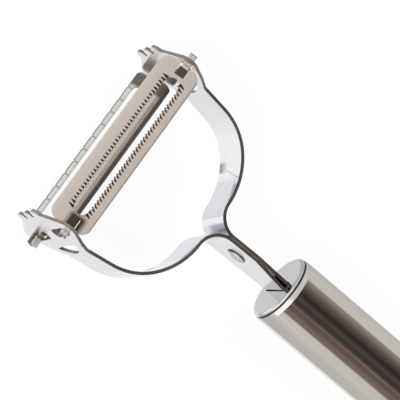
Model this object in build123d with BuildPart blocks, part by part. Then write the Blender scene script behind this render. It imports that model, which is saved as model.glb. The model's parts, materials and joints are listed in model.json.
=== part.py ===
from build123d import *
import math
import os

# Vegetable peeler with two swivelling blades, one on each face of a forked steel head.
# X runs along the blades, +Y points to the head, +Z is up.
# The part lies on a table: the two ears of the head and the tail of the handle touch Z = 0.
# The origin is the middle of the bottom of the bounding box.

# Steel strip of the two arms
strip_thickness = 1.0
strip_width = 18.6
ear_spacing = 60.0          # clear distance between the two ears
ear_half_height = 19.8      # from the strip's middle plane to the tip of a lobe

# Ear outline, distances measured back from the tips of the front teeth
tooth_radius = 2.4
tooth_pitch = 6.2
tooth_count = 3
lobe_radius = 3.0
lobe_setback = 9.5
ear_length = 19.6
slot_setback = 10.2
slot_inner_reach = 3.2
slot_width = 3.6
pivot_reach = 13.8          # from the strip's middle plane to the axis of a blade
window_front = 15.7
window_rear = 19.8
window_half_height = 8.2
window_bulge = 0.5

# Path of an arm, seen from above
bend_setback = 16.7
lead_length = 11.5
lead_angle = 8.2
shoulder_radius = 19.3
shoulder_turn = 40.7
crown_turn = 39.5
throat_radius = 7.3

# Neck, where the two strips lie side by side and then part again before the cap
rivet_setback = 59.1
splay_length = 12.6
splay_gap = 0.5             # how far each strip has moved out at the cap
tang_width = 12.6
tang_lead = 0.8             # from the cap's face to where a strip has narrowed to its tang

# Handle
axis_crossing = 64.0        # where the handle's axis meets the strip's middle plane
seam_from_crossing = 12.0
tube_length = 96.0
tube_diameter = 22.6
tube_wall = 0.8
seam_gap = 0.3
tube_lip_length = 1.6
tube_lip_drop = 0.65
fit_gap = 0.05              # between pieces that are pressed or welded together

# End caps of the handle
cap_height = 0.9            # from the seam to the cap's flat face
cap_edge_width = 1.1        # rounding between the face and the rim
cap_rim_drop = 0.4
cap_wall = 1.3
cap_slot_gap = 0.3          # beside each tang in the slot of the front cap
skirt_length = 6.0

# Plug inside the tube that grips the two tangs
plug_length = 20.0
plug_setback = 0.5
tang_end_gap = 1.0
pin_diameter = 3.0
pin_end_gap = 0.5

# Rivet at the neck
rivet_shank_diameter = 3.6
rivet_head_diameter = 6.2
rivet_head_height = 1.3

# Hanging loop, a bent wire with its two ends in the rear cap
loop_wire_diameter = 2.4
loop_spacing = 9.0
loop_reach = 16.0
loop_depth = 5.0

# Blades
blade_advance = 0.85        # how far a blade's middle lies in front of its swivel axis
blade_thickness = 0.6
blade_end_gap = 0.3
blade_crown = 0.8           # how far the middle of a blade stands above its edges
blade_rise = 1.3            # from the swivel axis to the underside of the blade's middle
blade_slot_length = 49.8
recess_width = 3.4
recess_length = 3.7
notch_pitch = 1.22
notch_width = 0.62
notch_length = 1.4
notch_slant = 13.3
notch_cut_length = 0.4      # how much of a notch goes right through at the edge
notch_rise = 1.35           # from the swivel axis to the bottom of a notch
peeling_blade_width = 13.2
peeling_corner_radius = 3.2
peeling_slot_width = 4.7
peeling_slot_shift = 0.56   # how far the slot lies behind the middle of the blade
peeling_blade_tilt = -12.0
julienne_blade_tilt = 50.0

# Curled tongues that carry a blade in the ears
tongue_width = 2.4
tongue_height = 2.88
tongue_wall = 0.6
long_tongue_reach = 3.0
short_tongue_reach = 1.6
tongue_corner_radius = 0.4
ramp_seat = 0.9
ramp_length = 2.8
ramp_lap = 0.3
ramp_side_gap = 0.2

# Spikes and slits of the julienne blade
julienne_pitch = 4.73
julienne_count = 11
julienne_blade_width = 11.5
julienne_corner_radius = 1.6
julienne_front_bar = 1.5
julienne_rear_strip = 3.4
roll_radius = 2.6           # outside radius of the rolled rear edge
spike_width = 0.8
spike_height = 2.4
spike_length = 1.0
groove_width = 0.45
groove_rise = 0.85          # from the swivel axis to the bottom of a groove in the front bar

# How far cutting shapes run past what they cut
overrun = 1.0

# Places worked out from the sizes above
tube_radius = tube_diameter / 2
tube_bore_radius = tube_radius - tube_wall
rest_from_crossing = seam_from_crossing + tube_length - tube_lip_length
rest_reach = math.hypot(rest_from_crossing, tube_radius)
rest_angle = math.atan2(tube_radius, rest_from_crossing)
handle_slope = math.asin(ear_half_height / rest_reach) - rest_angle
wire_radius = loop_wire_diameter / 2
loop_top = cap_height + loop_reach - wire_radius
loop_run = (seam_from_crossing + tube_length + loop_top) * math.cos(handle_slope)
overall_length = axis_crossing + loop_run + wire_radius
tip_y = overall_length / 2
head_z = ear_half_height
strip_centre_x = ear_spacing / 2 + strip_thickness / 2
ear_outer_x = ear_spacing / 2 + strip_thickness

# The handle's own frame: X across, Y forward along its axis, origin on the seam of the front cap.
forward = Vector(0, math.cos(handle_slope), math.sin(handle_slope))
handle_up = Vector(0, -math.sin(handle_slope), math.cos(handle_slope))
crossing_point = Vector(0, tip_y - axis_crossing, head_z)
seam_point = crossing_point - forward * seam_from_crossing
tail_point = seam_point - forward * tube_length
plug_point = seam_point - forward * (skirt_length + plug_setback)
pin_point = plug_point - forward * (plug_length / 2)
seam_plane = Plane(seam_point, x_dir=(1, 0, 0), z_dir=handle_up)
tail_plane = Plane(tail_point, x_dir=(1, 0, 0), z_dir=-handle_up)
handle_axis = Axis(seam_point, forward)

# Places along the strips, in the frame of the head
cap_face_y = seam_point.Y + cap_height
tang_start_y = cap_face_y + tang_lead
tang_z = seam_point.Z
tang_end_y = plug_point.Y - plug_length + tang_end_gap
splay_start_y = cap_face_y + splay_length
tang_x = strip_thickness / 2 + splay_gap

# The crown arc takes up whatever inset the other bends leave, so that the strips meet in the middle.
shoulder_end = math.radians(lead_angle + shoulder_turn)
throat_turn = lead_angle + shoulder_turn + crown_turn
crown_end = math.radians(throat_turn)
lead_inset = lead_length * math.sin(math.radians(lead_angle))
shoulder_inset = shoulder_radius * (math.cos(math.radians(lead_angle)) - math.cos(shoulder_end))
throat_inset = throat_radius * (1 - math.cos(crown_end))
crown_inset = ear_spacing / 2 - lead_inset - shoulder_inset - throat_inset
crown_radius = crown_inset / (math.cos(shoulder_end) - math.cos(crown_end))

os.makedirs("parts", exist_ok=True)


def save(piece, name):
    piece.label = name
    export_step(piece, "parts/" + name + ".step")


# Right arm: ear, bow, half of the neck and a tang, all cut and bent from one strip.
# Seen from above it leaves the ear straight, leans in, sweeps round the bow, turns back at the
# throat, lies along the neck, parts from its neighbour and ends straight inside the handle.
with BuildPart() as right_arm:
    with BuildSketch(Plane.XY.offset(head_z)):
        with BuildLine():
            ear_line = Line((strip_centre_x, tip_y + overrun), (strip_centre_x, tip_y - bend_setback))
            lead = PolarLine(ear_line @ 1, lead_length, -90 - lead_angle)
            shoulder = JernArc(lead @ 1, lead % 1, shoulder_radius, -shoulder_turn)
            crown = JernArc(shoulder @ 1, shoulder % 1, crown_radius, -crown_turn)
            throat = JernArc(crown @ 1, crown % 1, throat_radius, throat_turn)
            neck_end = (strip_thickness / 2, splay_start_y)
            Polyline(throat @ 1, neck_end, (tang_x, cap_face_y), (tang_x, tang_end_y))
        trace(line_width=strip_thickness)
    extrude(amount=ear_half_height, both=True)
    with BuildSketch(Plane.YZ):
        # The ear: two lobes and a flat front, then the teeth and the strip behind it
        with Locations((tip_y - lobe_setback, head_z)):
            with GridLocations(0, 2 * (ear_half_height - lobe_radius), 1, 2):
                Circle(lobe_radius)
        with Locations((tip_y - tooth_radius, head_z)):
            teeth_span = (tooth_count - 1) * tooth_pitch + 2 * tooth_radius
            Rectangle(lobe_radius, teeth_span, align=(Align.MAX, Align.CENTER))
        with Locations((tip_y - ear_length, head_z)):
            Rectangle(lobe_radius, strip_width, align=(Align.MIN, Align.CENTER))
        make_hull()
        with Locations((tip_y - tooth_radius, head_z)):
            with GridLocations(0, tooth_pitch, 1, tooth_count):
                Circle(tooth_radius)
        with Locations((splay_start_y, head_z)):
            bow_length = tip_y - ear_length - splay_start_y
            Rectangle(bow_length, strip_width, align=(Align.MIN, Align.CENTER))
        # Where the two strips part, each one narrows evenly to its tang
        with BuildLine():
            Polyline(
                (splay_start_y, head_z + strip_width / 2),
                (splay_start_y, head_z - strip_width / 2),
                (tang_start_y, tang_z - tang_width / 2),
                (tang_start_y, tang_z + tang_width / 2),
                close=True,
            )
        make_face()
        with Locations((tang_end_y, tang_z)):
            tang_length = tang_start_y - tang_end_y
            Rectangle(tang_length, tang_width, align=(Align.MIN, Align.CENTER))
    extrude(amount=ear_outer_x + overrun, mode=Mode.INTERSECT)
    with BuildSketch(Plane.YZ):
        # Two long slots for the tongues of the blades
        for side in (1, -1):
            slot_inner = slot_inner_reach + slot_width / 2
            with Locations((tip_y - slot_setback, head_z + side * (slot_inner + pivot_reach) / 2)):
                SlotCenterToCenter(pivot_reach - slot_inner, slot_width, rotation=90)
        # The pointed window at the bend
        with BuildLine():
            window_top = (tip_y - window_front - window_bulge, head_z + window_half_height)
            window_bottom = (tip_y - window_front - window_bulge, head_z - window_half_height)
            ThreePointArc(window_top, (tip_y - window_front, head_z), window_bottom)
            ThreePointArc(window_bottom, (tip_y - window_rear, head_z), window_top)
        make_face()
        # Holes for the rivet at the neck and for the pin of the plug
        with Locations((tip_y - rivet_setback, head_z)):
            Circle(rivet_shank_diameter / 2 + fit_gap)
        with Locations((pin_point.Y, pin_point.Z)):
            Circle(pin_diameter / 2 + fit_gap)
    extrude(amount=ear_outer_x + overrun, mode=Mode.SUBTRACT)
save(right_arm.part, "right_arm")

# Left arm: the same strip, bent the other way.
with BuildPart() as left_arm:
    add(mirror(right_arm.part, about=Plane.YZ))
save(left_arm.part, "left_arm")

# Rivet that holds the two strips together at the neck, with a domed head on each side.
with BuildPart() as neck_rivet:
    with BuildSketch(Plane.XY.offset(head_z)):
        with BuildLine():
            rivet_y = tip_y - rivet_setback
            shank_y = rivet_y + rivet_shank_diameter / 2
            head_y = rivet_y + rivet_head_diameter / 2
            head_x = strip_thickness + rivet_head_height
            EllipticalCenterArc((strip_thickness, rivet_y), rivet_head_height, head_y - rivet_y, arc_size=90)
            Polyline(
                (strip_thickness, head_y),
                (strip_thickness, shank_y),
                (0, shank_y),
                (0, rivet_y),
                (head_x, rivet_y),
            )
        make_face()
    revolve(axis=Axis((0, rivet_y, head_z), (1, 0, 0)))
    mirror(about=Plane.YZ)
save(neck_rivet.part, "neck_rivet")

# Both end caps start as this cap: a flat face, a rounded edge and a skirt that sits in the tube.
with BuildPart() as plain_cap:
    with BuildSketch(seam_plane):
        with BuildLine():
            face_radius = tube_radius - cap_rim_drop - cap_edge_width
            skirt_radius = tube_bore_radius - fit_gap
            EllipticalCenterArc((face_radius, 0), cap_edge_width, cap_height, arc_size=90)
            Polyline(
                (face_radius, cap_height),
                (0, cap_height),
                (0, cap_height - cap_wall),
                (skirt_radius - cap_wall, cap_height - cap_wall),
                (skirt_radius - cap_wall, -skirt_length),
                (skirt_radius, -skirt_length),
                (skirt_radius, 0),
                (face_radius + cap_edge_width, 0),
            )
        make_face()
    revolve(axis=handle_axis)

# Front cap of the handle, with one slot across its face that takes both strips.
with BuildPart() as front_cap:
    add(plain_cap.part)
    with BuildSketch(Plane.YZ):
        with Locations((cap_face_y, tang_z)):
            Rectangle(2 * (cap_wall + overrun), tang_width + 2 * fit_gap)
    extrude(amount=tang_x + strip_thickness / 2 + cap_slot_gap, both=True, mode=Mode.SUBTRACT)
save(front_cap.part, "front_cap")

# Rear cap, closed, with two holes for the ends of the hanging loop.
with BuildPart() as rear_cap:
    add(mirror(plain_cap.part, about=Plane(seam_point - forward * (tube_length / 2), z_dir=forward)))
    with BuildSketch(Plane(tail_point, x_dir=(1, 0, 0), z_dir=-forward)):
        with GridLocations(loop_spacing, 0, 2, 1):
            Circle(wire_radius + fit_gap)
    extrude(amount=cap_wall, both=True, mode=Mode.SUBTRACT)
save(rear_cap.part, "rear_cap")

# Handle tube, open at both ends, with each end rolled in a little.
with BuildPart() as handle_tube:
    with BuildSketch(seam_plane):
        with BuildLine():
            lip_radius = tube_radius - tube_lip_drop
            lip_start = seam_gap
            lip_end = tube_length - seam_gap
            front_centre = (lip_radius, -lip_start - tube_lip_length)
            rear_centre = (lip_radius, -lip_end + tube_lip_length)
            EllipticalCenterArc(front_centre, tube_lip_drop, tube_lip_length, arc_size=90)
            Line((tube_radius, -lip_start - tube_lip_length), (tube_radius, -lip_end + tube_lip_length))
            EllipticalCenterArc(rear_centre, tube_lip_drop, tube_lip_length, 270, arc_size=90)
            Polyline(
                (lip_radius, -lip_end),
                (tube_bore_radius, -lip_end),
                (tube_bore_radius, -lip_start),
                (lip_radius, -lip_start),
            )
        make_face()
    revolve(axis=handle_axis)
save(handle_tube.part, "handle_tube")

# Plug in the front of the tube, with a slot for each tang and a hole for the cross pin.
with BuildPart() as handle_plug:
    with BuildSketch(Plane(plug_point, x_dir=(1, 0, 0), z_dir=-forward)):
        Circle(tube_bore_radius - fit_gap)
    extrude(amount=plug_length)
    with BuildSketch(Plane.XZ.offset(-plug_point.Y - overrun)):
        with Locations((0, tang_z)):
            with GridLocations(2 * tang_x, 0, 2, 1):
                Rectangle(strip_thickness + 2 * fit_gap, tang_width + 2 * fit_gap)
    extrude(amount=plug_point.Y + overrun - tang_end_y + tang_end_gap / 2, mode=Mode.SUBTRACT)
    with BuildSketch(Plane.YZ):
        with Locations((pin_point.Y, pin_point.Z)):
            Circle(pin_diameter / 2 + fit_gap)
    extrude(amount=tube_radius, both=True, mode=Mode.SUBTRACT)
save(handle_plug.part, "handle_plug")

# Cross pin through the plug and both tangs.
with BuildPart() as plug_pin:
    with BuildSketch(Plane.YZ):
        with Locations((pin_point.Y, pin_point.Z)):
            Circle(pin_diameter / 2)
    extrude(amount=tube_bore_radius - pin_end_gap, both=True)
save(plug_pin.part, "plug_pin")

# Hanging loop at the tail.
with BuildPart() as hanging_loop:
    with BuildLine(tail_plane):
        leg_end = cap_height - loop_depth
        bend_start = loop_top - loop_spacing / 2
        first_leg = Line((loop_spacing / 2, leg_end), (loop_spacing / 2, bend_start))
        bend = JernArc(first_leg @ 1, first_leg % 1, loop_spacing / 2, 180)
        Line(bend @ 1, (-loop_spacing / 2, leg_end))
    with BuildSketch(Plane(first_leg @ 0, z_dir=first_leg % 0)):
        Circle(wire_radius)
    sweep()
save(hanging_loop.part, "hanging_loop")

# Blade sizes that both blades share
blade_length = ear_spacing - 2 * blade_end_gap
edge_rise = blade_rise - blade_crown
ramp_start_x = blade_length / 2 - recess_length
cut_height = blade_rise + peeling_blade_width


# The frame of a blade: origin on its swivel axis, Y to its front edge, Z out of its top face.
def blade_frame(face, tilt):
    lean = math.radians(tilt)
    top = Vector(0, -math.sin(lean), face * math.cos(lean))
    origin = (0, tip_y - slot_setback, head_z + face * pivot_reach)
    return Plane(origin, x_dir=(face, 0, 0), z_dir=top)


# The plane across a blade, with its first direction to the front edge and its second out of the top.
def across_blade(frame):
    return Plane(frame.origin, x_dir=frame.y_dir, z_dir=frame.x_dir)


# Cuts a blade's sheet to its rounded outline, with a recess at each end.
def trim_sheet(frame, width, corner_radius):
    with BuildSketch(frame) as outline:
        with Locations((0, blade_advance)):
            RectangleRounded(blade_length, width, corner_radius)
        with GridLocations(blade_length, 0, 2, 1):
            Rectangle(2 * recess_length, recess_width, mode=Mode.SUBTRACT)
    extrude(outline.sketch, amount=cut_height, mode=Mode.INTERSECT)


# The two tongues of a blade: each drops from the sheet through a ramp and runs out through an ear
# as a channel with its open side down. The longer one is threaded into its ear first.
def blade_tongues(frame):
    along = Plane(frame.origin, x_dir=frame.x_dir, z_dir=-frame.y_dir)
    channel_top = tongue_height / 2 - tongue_wall / 2
    ramp_end_x = ramp_start_x + ramp_length
    for side, reach in ((1, long_tongue_reach), (-1, short_tongue_reach)):
        with BuildSketch(along) as ramp:
            with BuildLine():
                Polyline(
                    (side * (ramp_start_x - ramp_seat), blade_rise + blade_thickness / 2),
                    (side * ramp_start_x, blade_rise + blade_thickness / 2),
                    (side * ramp_end_x, channel_top),
                    (side * (ramp_end_x + ramp_lap), channel_top),
                )
            trace(line_width=tongue_wall)
        extrude(ramp.sketch, amount=recess_width / 2 - ramp_side_gap, both=True)
        with BuildSketch(across_blade(frame).offset(side * ramp_end_x)) as channel:
            RectangleRounded(tongue_width, tongue_height, tongue_corner_radius)
            with Locations((0, -tongue_wall)):
                Rectangle(tongue_width - 2 * tongue_wall, tongue_height, mode=Mode.SUBTRACT)
        extrude(channel.sketch, amount=side * (ear_outer_x + reach - ramp_end_x))


# Peeling blade on the upper face: one long slot with slanted teeth along both of its edges.
peeling_frame = blade_frame(1, peeling_blade_tilt)
notch_count = int((blade_slot_length - peeling_slot_width) / notch_pitch)
groove_count = int(blade_slot_length / notch_pitch)
with BuildPart() as peeling_blade:
    with BuildSketch(across_blade(peeling_frame)):
        with BuildLine():
            front = blade_advance + peeling_blade_width / 2
            rear = blade_advance - peeling_blade_width / 2
            top_edge = edge_rise + blade_thickness
            ThreePointArc((rear, edge_rise), (blade_advance, blade_rise), (front, edge_rise))
            Line((front, edge_rise), (front, top_edge))
            top_middle = (blade_advance, blade_rise + blade_thickness)
            ThreePointArc((front, top_edge), top_middle, (rear, top_edge))
            Line((rear, top_edge), (rear, edge_rise))
        make_face()
    extrude(amount=blade_length / 2, both=True)
    trim_sheet(peeling_frame, peeling_blade_width, peeling_corner_radius)
    slot_middle = blade_advance - peeling_slot_shift
    with BuildSketch(peeling_frame):
        with Locations((0, slot_middle)):
            SlotOverall(blade_slot_length, peeling_slot_width)
            with GridLocations(notch_pitch, 0, notch_count, 1):
                Rectangle(notch_width, peeling_slot_width + 2 * notch_cut_length)
    extrude(amount=cut_height, mode=Mode.SUBTRACT)
    with BuildSketch(peeling_frame.offset(notch_rise)):
        with Locations((0, slot_middle)):
            with GridLocations(notch_pitch, peeling_slot_width + notch_length, groove_count, 2):
                Rectangle(notch_width, notch_length + notch_cut_length, rotation=-notch_slant)
    extrude(amount=cut_height, mode=Mode.SUBTRACT)
    blade_tongues(peeling_frame)
save(peeling_blade.part, "peeling_blade")

# Julienne blade on the lower face: a narrow grooved front bar, a wide slot, a row of upright
# spikes behind the slot and a rear edge that is rolled outwards.
julienne_frame = blade_frame(-1, julienne_blade_tilt)
with BuildPart() as julienne_blade:
    with BuildSketch(across_blade(julienne_frame)):
        with BuildLine():
            front = blade_advance + julienne_blade_width / 2
            rear = blade_advance - julienne_blade_width / 2
            quarter_fall = blade_crown / 4
            low_quarter = (front / 2, blade_rise - quarter_fall)
            ThreePointArc((front, edge_rise), low_quarter, (0, blade_rise))
            roll_middle = rear + roll_radius
            Line((0, blade_rise), (roll_middle, blade_rise))
            roll = JernArc((roll_middle, blade_rise), (-1, 0), roll_radius, -90)
            inner_start = (rear + blade_thickness, blade_rise + roll_radius)
            Line(roll @ 1, inner_start)
            inner = JernArc(inner_start, (0, -1), roll_radius - blade_thickness, 90)
            top = Line(inner @ 1, (0, blade_rise + blade_thickness))
            high_quarter = (front / 2, blade_rise + blade_thickness - quarter_fall)
            ThreePointArc(top @ 1, high_quarter, (front, edge_rise + blade_thickness))
            Line((front, edge_rise + blade_thickness), (front, edge_rise))
        make_face()
    extrude(amount=blade_length / 2, both=True)
    trim_sheet(julienne_frame, julienne_blade_width, julienne_corner_radius)
    with BuildSketch(julienne_frame):
        with Locations((0, front - julienne_front_bar)):
            opening_width = julienne_blade_width - julienne_front_bar - julienne_rear_strip
            with Locations((0, -opening_width / 2)):
                RectangleRounded(blade_slot_length, opening_width, julienne_corner_radius)
    extrude(amount=cut_height, mode=Mode.SUBTRACT)
    with BuildSketch(julienne_frame):
        with Locations((0, front)):
            with GridLocations(julienne_pitch, 0, julienne_count, 1):
                Rectangle(groove_width, 2 * julienne_front_bar)
    extrude(amount=groove_rise, mode=Mode.SUBTRACT)
    with BuildSketch(julienne_frame.offset(blade_rise)):
        with Locations((0, rear + julienne_rear_strip)):
            with GridLocations(julienne_pitch, 0, julienne_count - 2, 1):
                Rectangle(spike_width, spike_length, align=(Align.CENTER, Align.MAX))
    extrude(amount=spike_height)
    blade_tongues(julienne_frame)
save(julienne_blade.part, "julienne_blade")
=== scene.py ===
import json
import math

import bpy
from mathutils import Matrix, Vector

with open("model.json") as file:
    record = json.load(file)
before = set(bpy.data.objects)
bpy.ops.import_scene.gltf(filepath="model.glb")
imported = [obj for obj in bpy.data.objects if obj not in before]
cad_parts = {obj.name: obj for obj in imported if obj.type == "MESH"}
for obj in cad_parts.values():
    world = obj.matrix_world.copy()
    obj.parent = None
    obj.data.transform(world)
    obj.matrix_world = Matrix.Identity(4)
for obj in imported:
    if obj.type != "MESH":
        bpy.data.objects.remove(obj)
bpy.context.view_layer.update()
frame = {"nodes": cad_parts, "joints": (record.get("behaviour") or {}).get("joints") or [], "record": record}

# The two arms are bent from one width of stainless strip, polished on its broad faces. The press
# leaves their cut edges rougher, painted dark reflections make them darker, and rolling leaves fine lines
# along them. The bands and dark streaks that the polish mirrors inside the bow, and the shade in its throat,
# are painted into its colour as reflections and shade.


class Link:
    """A node's output, which Python's operators join to others through Math nodes."""

    def __init__(self, finish, socket):
        self.finish = finish
        self.socket = socket

    def math(self, operation, *others):
        return self.finish.node("ShaderNodeMath", {"operation": operation}, (self, *others))

    def math_after(self, operation, first):
        return self.finish.node("ShaderNodeMath", {"operation": operation}, (first, self))

    def __add__(self, other):
        return self.math("ADD", other)

    def __sub__(self, other):
        return self.math("SUBTRACT", other)

    def __rsub__(self, other):
        return self.math_after("SUBTRACT", other)

    def __mul__(self, other):
        return self.math("MULTIPLY", other)

    def __truediv__(self, other):
        return self.math("DIVIDE", other)

    def __rtruediv__(self, other):
        return self.math_after("DIVIDE", other)

    __radd__ = __add__
    __rmul__ = __mul__

    def most(self, *others):
        """The largest of this value and the others."""
        largest = self
        for other in others:
            largest = largest.math("MAXIMUM", other)
        return largest


class Finish:
    """One material, or the world, and the nodes that make it."""

    def __init__(self, owner):
        owner.use_nodes = True
        self.owner = owner
        self.tree = owner.node_tree
        self.tree.nodes.clear()

    def node(self, kind, settings=None, inputs=(), output=0):
        """A node with these settings, and then these values or links on its sockets."""
        made = self.tree.nodes.new(kind)
        for name, value in (settings or {}).items():
            if name == "stops":
                elements = made.color_ramp.elements
                while len(elements) < len(value):
                    elements.new(1)
                for element, (place, tone) in zip(elements, value):
                    element.position = place
                    element.color = tone
            else:
                setattr(made, name, value)
        named = inputs.items() if isinstance(inputs, dict) else enumerate(inputs)
        for name, value in named:
            if isinstance(value, Link):
                self.tree.links.new(value.socket, made.inputs[name])
            else:
                made.inputs[name].default_value = value
        return Link(self, made.outputs[output]) if made.outputs else None

    def place(self, stretch=(1, 1, 1), slope=0.0, start=(0, 0, 0)):
        """A place on a piece that slopes so many degrees about X, drawn out by stretch."""
        raw = self.node("ShaderNodeTexCoord", output="Object")
        turn = (math.radians(slope), 0, 0)
        inputs = {"Vector": raw, "Location": start, "Rotation": turn, "Scale": stretch}
        return self.node("ShaderNodeMapping", {"vector_type": "TEXTURE"}, inputs)

    def axes(self, vector):
        """The X, Y and Z of a vector."""
        parted = self.node("ShaderNodeSeparateXYZ", inputs=(vector,)).socket.node
        return [Link(self, socket) for socket in parted.outputs]

    def millimetres(self, slope=0.0, start=(0, 0, 0)):
        """The X, Y and Z in mm of a place on a piece that slopes so and starts there."""
        return self.axes(self.place((0.001, 0.001, 0.001), slope, start))

    def span(self, value, low, high, to_low=0.0, to_high=1.0):
        """A value that goes from low to high, led from to_low to to_high and no further."""
        return self.node("ShaderNodeMapRange", inputs=(value, low, high, to_low, to_high))

    def within(self, value, half_width, blur):
        """1 where a value is less than half a width from 0, and 0 outside."""
        return self.span(value.math("ABSOLUTE"), half_width + blur, half_width - blur)

    def grain(self, scale, detail, stretch=(1, 1, 1), slope=0.0):
        """Noise from 0 to 1 at so many grains to the metre, each drawn out by stretch."""
        place = self.place(stretch, slope)
        inputs = {"Vector": place, "Scale": scale, "Detail": detail, "Roughness": 0.6}
        return self.node("ShaderNodeTexNoise", inputs=inputs)

    def contrast(self, grain):
        """A grain with its pale and dark parts further from each other."""
        return self.span(grain, 0.35, 0.65)

    def spread(self, grain, low, high):
        """A grain led from low to high."""
        return self.span(grain, 0.3, 0.7, low, high)

    def ramp(self, value, *stops):
        return self.node("ShaderNodeValToRGB", {"stops": stops}, (value,))

    def mix(self, share, first, second):
        inputs = {0: share, 6: first, 7: second}
        return self.node("ShaderNodeMix", {"data_type": "RGBA"}, inputs, output=2)

    def bump(self, height, strength, distance=0.0002):
        inputs = {"Strength": strength, "Distance": distance, "Height": height}
        return self.node("ShaderNodeBump", inputs=inputs)

    def surface(self, inputs):
        shader = self.node("ShaderNodeBsdfPrincipled", inputs=inputs)
        self.node("ShaderNodeOutputMaterial", inputs={"Surface": shader})


def finish_for(name):
    return Finish(bpy.data.materials.new(name))


def dress(node, finish):
    """The CAD node takes this finish in place of its own."""
    materials = frame["nodes"][node].data.materials
    materials.clear()
    materials.append(finish.owner)


def colour(red, green, blue):
    """A colour as a picture editor gives it, from 0 to 255, as the shader wants it."""
    return tuple(((part / 255 + 0.055) / 1.055) ** 2.4 for part in (red, green, blue)) + (1,)


strip = finish_for("polished_strip")
sideways, _, upward = strip.axes(strip.node("ShaderNodeNewGeometry", output="Normal"))
place_x, place_y, place_z = strip.millimetres()
from_middle = place_x.math("ABSOLUTE")
rolled = strip.grain(900, 4, (9, 9, 1))
cloud = strip.contrast(strip.grain(75, 3))

# Painted reflections: the bands that the bow's faces mirror, by the distance from the middle of the head in
# mm
bands_reach = 32
white, pale, grey = colour(252, 252, 253), colour(242, 242, 244), colour(229, 229, 231)
cool_grey, thin_line = colour(223, 224, 228), colour(196, 197, 201)
bow_bands = (
    (1.4, grey),
    (2.2, white),
    (3.4, white),
    (3.6, thin_line),
    (3.8, cool_grey),
    (14.7, cool_grey),
    (15.5, pale),
    (17.0, white),
    (25.6, white),
    (28.8, grey),
)
bands = ((distance / bands_reach, tone) for distance, tone in bow_bands)
sheen = strip.ramp(from_middle / bands_reach, *bands)

# Painted dark reflections: a thin leaning line, a soft spot and a streak at the top; and painted shade in
# the throat
line_lean, line_start, line_half_width, line_bottom = 0.225, 22.03, 0.16, 17
line = strip.within(from_middle + place_z * line_lean - line_start, line_half_width, 0.06)
line = line * strip.span(place_z, line_bottom - 0.5, line_bottom + 0.5)
spot_middle, spot_half_width, spot_top, spot_bottom = 19, 1.3, 17.5, 12.5
spot = strip.within(from_middle - spot_middle, spot_half_width, 0.3)
spot = spot * strip.span(place_z, spot_top, spot_bottom)
streak_middle, streak_half_width, streak_lean, streak_bottom = 11, 2.8, 0.35, 30.7
streak = strip.within(from_middle - streak_middle, streak_half_width, 0.4)
streak = streak * strip.span(
    place_z + from_middle * streak_lean, streak_bottom - 0.5, streak_bottom + 0.5
)
throat_y, throat_half_gap, shade_bottom, shade_full = 44, 1.95, 14.5, 19.5
throat = strip.within(place_x, throat_half_gap, 0.25)
throat = throat * strip.span(place_y, throat_y - 0.5, throat_y + 0.5)
throat = throat * strip.span(place_z, shade_bottom, shade_full)
dark_reflections_and_shade = (line * 0.6).most(spot * 0.85, streak * 0.8, throat * 0.75)
# The polish carries the painted reflection bands, under the painted dark reflections and shade
polish = strip.mix(cloud * 0.35, sheen, colour(244, 244, 246))
face = strip.mix(dark_reflections_and_shade, polish, colour(130, 132, 142))

# Painted dark reflections on the cut edges: brown at the neck with a pale seam between the arms, grey on the
# bow, paler on the ears
neck_end, bow_start, ear_root, seam_half_width = 46, 49, 74.2, 0.2
fine = strip.contrast(rolled)
seam = strip.within(place_x, seam_half_width, 0.1)
brown_edge = strip.mix(fine, colour(88, 80, 76), colour(112, 105, 100))
neck_edge = strip.mix(seam, brown_edge, colour(150, 140, 132))
grey_edge = strip.mix(fine, colour(94, 92, 92), colour(118, 115, 114))
edge_reflection = strip.mix(strip.span(place_y, neck_end, bow_start), neck_edge, grey_edge)
ear_rim = strip.mix(cloud, colour(140, 134, 128), colour(178, 173, 167))
on_edge = strip.span(upward.math("ABSOLUTE"), 0.75, 0.95)
on_ear_rim = strip.span(sideways.math("ABSOLUTE"), 0.6, 0.4)
on_ear_rim = on_ear_rim * strip.span(place_y, ear_root - 0.4, ear_root + 0.4)
strip.surface(
    {
        "Base Color": strip.mix(on_ear_rim, strip.mix(on_edge, face, edge_reflection), ear_rim),
        "Metallic": 1.0,
        "Roughness": strip.spread(rolled, 0.15, 0.23) + on_edge.most(on_ear_rim) * 0.35,
        "Normal": strip.bump(rolled, 0.06),
    }
)
dress("right_arm", strip)
dress("left_arm", strip)

# The rivet clamps the two arms at the neck, and the cross pin holds them in the plug. Both are cut
# from plain stainless wire. The rivet's two heads are formed cold in a die, and a ring of painted shade
# lies where they meet the strip.
rivet = finish_for("headed_rivet")
peened = rivet.grain(1400, 3)
from_seam, _, _ = rivet.millimetres()
foot_reach = 1.35
# Painted shade close to the middle, where the heads meet the strip
foot_shade = rivet.within(from_seam, foot_reach, 0.15)
headed = rivet.mix(peened, colour(240, 240, 243), colour(252, 252, 254))
rivet.surface(
    {
        "Base Color": rivet.mix(foot_shade, headed, colour(92, 88, 86)),
        "Metallic": 1.0,
        "Roughness": rivet.spread(peened, 0.26, 0.36),
        "Normal": rivet.bump(peened, 0.15, 0.0003),
    }
)
dress("neck_rivet", rivet)
dress("plug_pin", rivet)

# Both blades are pressed from hardened strip and ground across their faces, so they look satin and a
# little warm. Painted shade and dark reflections darken their notches, grooves, bends and edges, and a
# painted silvery sheen lies on the shredder's honed bar and tongues. Each hangs in the ears' slots by the
# tongues at its ends.
ground_colours = (colour(226, 217, 208), colour(238, 230, 221))
painted_shade_colour = colour(90, 76, 70)
silver_sheen_colour = colour(226, 226, 224)
swivels = {joint["name"]: joint["pos_m"] for joint in frame["joints"]}


def blade_finish(name, swivel, tilt):
    """A blade's finish, and the places along and across the blade in mm from its swivel axis."""
    finish = finish_for(name)
    along, across, _ = finish.millimetres(tilt, swivels[swivel])
    return finish, along, across


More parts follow.
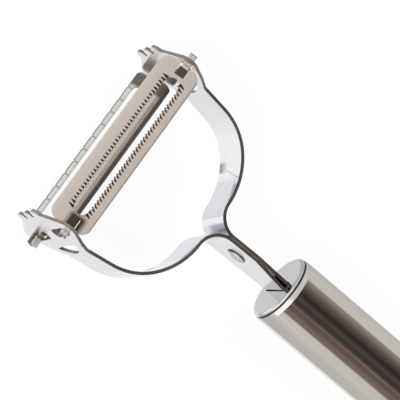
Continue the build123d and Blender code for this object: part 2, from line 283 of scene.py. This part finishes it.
def paint_blade(finish, shade_mask, silver_sheen=0.0):
    """A ground blade, darkened by painted shade and silvered by a painted sheen where the masks say."""
    ground = finish.grain(2600, 5, (8, 1, 1))
    face = finish.mix(finish.grain(70, 3), *ground_colours)
    finish.surface(
        {
            "Base Color": finish.mix(shade_mask, finish.mix(silver_sheen, face, silver_sheen_colour), painted_shade_colour),
            "Metallic": 1.0,
            "Roughness": finish.spread(ground, 0.16, 0.26) + shade_mask * 0.3,
            "Normal": finish.bump(ground, 0.10),
        }
    )


peeler, along, across = blade_finish("ground_blade", "peeling_swivel", -12)
from_middle = along.math("ABSOLUTE")

# Painted shade in a row of notches along each side of the slot, slanted and narrower away from it
notch_pitch, notch_lean = 1.22, math.tan(math.radians(13.3))
notch_taper, wide_half, narrow_half = 0.8, 0.52, 0.16
slot_middle, notch_row, row_shift = 0.29, 3.05, 0.2
row_half_width, row_half_length = 0.95, 24.4
from_slot = across - slot_middle
beyond_row = from_slot - from_slot.math("SIGN") * notch_row
phase = ((along - beyond_row * notch_lean) / notch_pitch).math("FRACT") - 0.5
from_row = from_slot.math("ABSOLUTE") - notch_row
notch_half_width = peeler.span(from_row, -notch_taper, notch_taper, wide_half, narrow_half)
notches = peeler.span(phase.math("ABSOLUTE") * notch_pitch - notch_half_width, 0.05, -0.05)
notches = notches * peeler.within(from_row + row_shift, row_half_width, 0.05)
notches = notches * peeler.within(along, row_half_length, 0.1)

# Painted shade in the ramps down to the tongues, on the tongues' cut ends and along the blade's rear edge
ramp_middle, ramp_half_length, ramp_half_width = 27.4, 1.5, 1.72
ramps = peeler.within(from_middle - ramp_middle, ramp_half_length, 0.1)
ramps = ramps * peeler.within(across, ramp_half_width, 0.03)
long_tongue_end, short_tongue_end, rear_start = 33.6, -32.3, -5.2
long_tip = peeler.span(along, long_tongue_end, long_tongue_end + 0.2)
short_tip = peeler.span(along, short_tongue_end, short_tongue_end - 0.2)
rear_edge = peeler.span(across, rear_start, rear_start - 0.3)

# Painted dark reflection on the bend between the slot and the short tongue
bend_start, bend_end, bend_shift, bend_half_width = -25, -29.7, 0.65, 2.6
bend = peeler.span(along, bend_start + 0.8, bend_start - 0.8)
bend = bend * peeler.span(along, bend_end - 0.2, bend_end + 0.2)
bend = bend * peeler.within(across + bend_shift, bend_half_width, 0.8)
tips = long_tip.most(short_tip)
paint_blade(peeler, notches.most(bend, ramps * 0.95, tips * 0.7, rear_edge * 0.35))
dress("peeling_blade", peeler)

shredder, along, across = blade_finish("ground_shredder", "julienne_swivel", -50)
from_middle = along.math("ABSOLUTE")

# The front bar is honed and takes the painted silvery sheen, with painted shade on its front edge and in the
# thin cuts across it
slit_pitch, slit_half_width, row_half_length = 4.73, 0.24, 24.0
bar_start, bar_edge = 5.0, 6.3
phase = (along / slit_pitch + 0.5).math("FRACT") - 0.5
slits = shredder.within(phase * slit_pitch, slit_half_width, 0.05)
slits = slits * shredder.within(along, row_half_length, 0.1)
bar = shredder.span(across, bar_start, bar_start + 0.1)
edge_and_slit_shade = shredder.span(across, bar_edge, bar_edge + 0.1).most(slits * bar * 0.45)

# Painted shade on the ends beside the slot, on the rolled rear edge and in the folds of the silvery tongues
end_middle, end_half_length, roll_start, roll_back = 27.2, 2.4, -2.0, -4.2
tongue_start, fold_start, fold_middle, fold_half_width = 30.2, 30.5, 0.9, 0.25
ends = shredder.within(from_middle - end_middle, end_half_length, 0.6)
roll = shredder.span(across, roll_start, roll_start - 1.0) * 0.2
roll = roll + shredder.span(across, roll_back, roll_back - 0.4) * 0.7
tongues = shredder.span(from_middle, tongue_start, tongue_start + 0.4)
folds = shredder.within(across - fold_middle, fold_half_width, 0.1)
folds = folds * shredder.span(from_middle, fold_start, fold_start + 1.0)
paint_blade(shredder, edge_and_slit_shade.most(ends * 0.85, roll, folds * 0.8), bar.most(tongues))
dress("julienne_blade", shredder)

# The end caps are pressed, polished and set on the tube, with a bright rounded edge. The colour is
# dark in the groove where a cap meets the tube.
grip = next(mount for mount in frame["record"]["mounts"] if mount["name"] == "handle_grip")
handle_axis = -Vector(grip["axis"])
tube_middle, half_tube = Vector(grip["pos_m"]), 0.048


def past_tube_end(finish):
    """How far a point lies beyond the nearer end of the tube, in metres along its axis."""
    raw = finish.node("ShaderNodeTexCoord", output="Object")
    offset = finish.node("ShaderNodeVectorMath", {"operation": "SUBTRACT"}, (raw, tube_middle))
    dotted = {"operation": "DOT_PRODUCT"}
    run = finish.node("ShaderNodeVectorMath", dotted, (offset, handle_axis), output="Value")
    return run.math("ABSOLUTE") - half_tube


cap = finish_for("polished_cap")
haze = cap.grain(120, 3)
polish = cap.mix(haze, colour(214, 215, 219), colour(228, 228, 232))
groove_start, groove_full = 0.00022, 0.0001
groove = cap.span(past_tube_end(cap), groove_start, groove_full)
cap.surface(
    {
        "Base Color": cap.mix(groove, polish, colour(80, 76, 74)),
        "Metallic": 1.0,
        "Roughness": cap.spread(haze, 0.07, 0.13) + groove * 0.3,
        "Normal": cap.bump(cap.grain(1600, 3), 0.04),
    }
)
dress("front_cap", cap)
dress("rear_cap", cap)

# The handle is a seamless stainless tube, polished along its length, with faint drawn lines in it.
# Both of its ends are rolled in to a lip that stays dark.
handle_slope = math.degrees(math.atan2(handle_axis.z, handle_axis.y))
tube = finish_for("drawn_tube")
lines = tube.grain(1500, 4, (1, 60, 1), handle_slope)
drawn = tube.contrast(tube.grain(520, 3, (1, 60, 1), handle_slope))
wear = tube.grain(90, 3, (1, 3, 1), handle_slope)
worn = tube.mix(wear, colour(224, 221, 217), colour(236, 233, 229))
bright = tube.mix(drawn, worn, colour(242, 239, 236))
lip_start, lip_full = -0.0006, -0.00035
lip = tube.span(past_tube_end(tube), lip_start, lip_full)
tube.surface(
    {
        "Base Color": tube.mix(lip, bright, colour(88, 84, 81)),
        "Metallic": 1.0,
        "Roughness": tube.spread(lines, 0.02, 0.05) + wear * 0.015,
        "Normal": tube.bump(lines, 0.05),
    }
)
dress("handle_tube", tube)

# The plug is moulded from black plastic and pressed into the tube, where it holds the two arms.
# It shows only through the slot of the front cap.
plug = finish_for("moulded_plug")
pebble = plug.grain(2200, 3)
plug.surface(
    {
        "Base Color": plug.mix(pebble, colour(30, 30, 31), colour(44, 44, 45)),
        "Roughness": plug.spread(pebble, 0.45, 0.6),
        "Normal": plug.bump(pebble, 0.2, 0.0003),
    }
)
dress("handle_plug", plug)

# The hanging loop is a length of drawn stainless wire, bent round a former, whose two ends go into
# the rear cap.
loop = finish_for("drawn_wire")
drawn = loop.grain(1800, 3, (1, 10, 1), handle_slope)
loop.surface(
    {
        "Base Color": loop.mix(drawn, colour(214, 213, 214), colour(230, 229, 231)),
        "Metallic": 1.0,
        "Roughness": loop.spread(drawn, 0.16, 0.28),
        "Normal": loop.bump(drawn, 0.08),
    }
)
dress("hanging_loop", loop)

# The peeler lies on a white table, a little under its lowest points. The camera sees the table as
# mostly white, and the metal sees the room's own table tone instead.
table_size, table_drop = 4.0, 0.0005
bpy.ops.object.select_all(action="DESELECT")
bpy.ops.mesh.primitive_plane_add(size=table_size, location=(0, 0, -table_drop))
table = bpy.context.object
table.name = "table"
table.visible_glossy = False
top = finish_for("white_table")
paint = top.node("ShaderNodeBsdfDiffuse", inputs={"Color": (0.9, 0.9, 0.9, 1)})
glow = top.node("ShaderNodeEmission", inputs={"Color": (1, 1, 1, 1), "Strength": 1.0})
seen = top.node("ShaderNodeLightPath", output="Is Camera Ray") * 0.85
both = top.node("ShaderNodeMixShader", inputs=(seen, paint, glow))
top.node("ShaderNodeOutputMaterial", inputs={"Surface": both})
table.data.materials.append(top.owner)

# What polished metal sees of the room: the table below, pale walls, a dark ceiling behind the head,
# a pale panel over it and a white wall in front. Bearings are in degrees from straight up, round
# the Y axis.
room = Finish(bpy.data.worlds.new("room"))
bpy.context.scene.world = room.owner
sideways, forward, upward = room.axes(room.node("ShaderNodeTexCoord", output="Generated"))
wall = (0.62, 0.605, 0.57, 1)
panel_colours = ((0.675, 0.65, 0.64, 1), (1.1, 1.1, 1.08, 1))
front_colours = ((1.15, 1.15, 1.15, 1), (0.5, 0.49, 0.48, 1))
pale_brown, gap = (0.28, 0.25, 0.215, 1), (0.25, 0.22, 0.20, 1)
brown, shadow = (0.19, 0.15, 0.13, 1), (0.13, 0.096, 0.082, 1)
beam, dark, darkest = (0.08, 0.07, 0.065, 1), (0.05, 0.042, 0.038, 1), (0.03, 0.023, 0.022, 1)
ceiling_colours = (
    (-67, wall),
    (-61, brown),
    (-50, brown),
    (-41, shadow),
    (-29.5, shadow),
    (-28, gap),
    (-26.5, shadow),
    (-17, dark),
    (-9, dark),
    (-1, beam),
    (7, dark),
    (16, darkest),
    (40, shadow),
    (65, pale_brown),
    (71, wall),
)
low_colours = (
    (-0.92, (0.915, 0.917, 0.927, 1)),
    (-0.82, (0.52, 0.51, 0.49, 1)),
    (-0.4, (0.56, 0.55, 0.53, 1)),
    (0.05, wall),
)
turn = sideways.math("ARCTAN2", upward) / (2 * math.pi) + 0.5
ceiling_stops = ((bearing / 360 + 0.5, tone) for bearing, tone in ceiling_colours)
ceiling = room.ramp(turn, *ceiling_stops)
low_stops = ((rise / 2 + 0.5, tone) for rise, tone in low_colours)
below = room.ramp(upward * 0.5 + 0.5, *low_stops)
panel = room.mix(room.span(sideways, -0.15, -0.5), *panel_colours)
front_wall = room.mix(room.span(sideways, -0.2, 0.7), *front_colours)
rear = room.mix(room.span(forward, -0.64, -0.54), wall, ceiling)
above = room.mix(room.span(forward, -0.35, -0.30), rear, panel)
side_view = room.mix(room.span(upward, 0.0, 0.12), below, above)
whole_view = room.mix(room.span(forward, 0.55, 0.68), side_view, front_wall)
gloss = room.node("ShaderNodeLightPath", output="Is Glossy Ray")
camera_ray = room.node("ShaderNodeLightPath", output="Is Camera Ray")
lit = room.mix(gloss, (0.8, 0.8, 0.8, 1), whole_view)
sky = room.mix(camera_ray, lit, (1, 1, 1, 1))
air = room.node("ShaderNodeBackground", inputs={"Color": sky, "Strength": 1.0})
room.node("ShaderNodeOutputWorld", inputs={"Surface": air})

# Two soft lamps light the head, and the metal doesn't mirror them. The stronger one stands ahead of
# the head at -X, and the weaker one behind the tail at +X.
head = Vector((0, 0.04, 0.02))


def lamp(name, place, size, power):
    light = bpy.data.lights.new(name, "AREA")
    light.shape = "SQUARE"
    light.size = size
    light.energy = power
    holder = bpy.data.objects.new(name, light)
    holder.location = place
    holder.rotation_euler = (head - Vector(place)).to_track_quat("-Z", "Y").to_euler()
    holder.visible_glossy = False
    bpy.context.collection.objects.link(holder)


lamp("key", (-0.9, 0.5, 1.1), 0.8, 14)
lamp("fill", (0.9, -0.4, 0.9), 0.9, 8)

# The camera is a long lens well above the head, turned so that the handle leaves the picture at the
# lower right. Its place is given from the neck, where the two arms meet.
camera_data = bpy.data.cameras.new("camera")
camera_data.sensor_width = 36
camera_data.lens = 324
camera_data.clip_end = 10
camera = bpy.data.objects.new("camera", camera_data)
neck = Vector((0, 0.04254362, 0.0198))
from_neck = Vector((-0.26331339, 0.24891801, 0.99851596))
right = Vector((0.56527045, -0.75528761, 0.33167747))
down = Vector((-0.78508744, -0.61599435, -0.06472002))
ahead = Vector((0.25319368, -0.22381151, -0.94117021))
turned = Matrix((right, -down, -ahead)).transposed().to_4x4()
camera.matrix_world = Matrix.Translation(neck + from_neck) @ turned
bpy.context.collection.objects.link(camera)
bpy.context.scene.camera = camera
bpy.context.scene.view_settings.view_transform = "Standard"
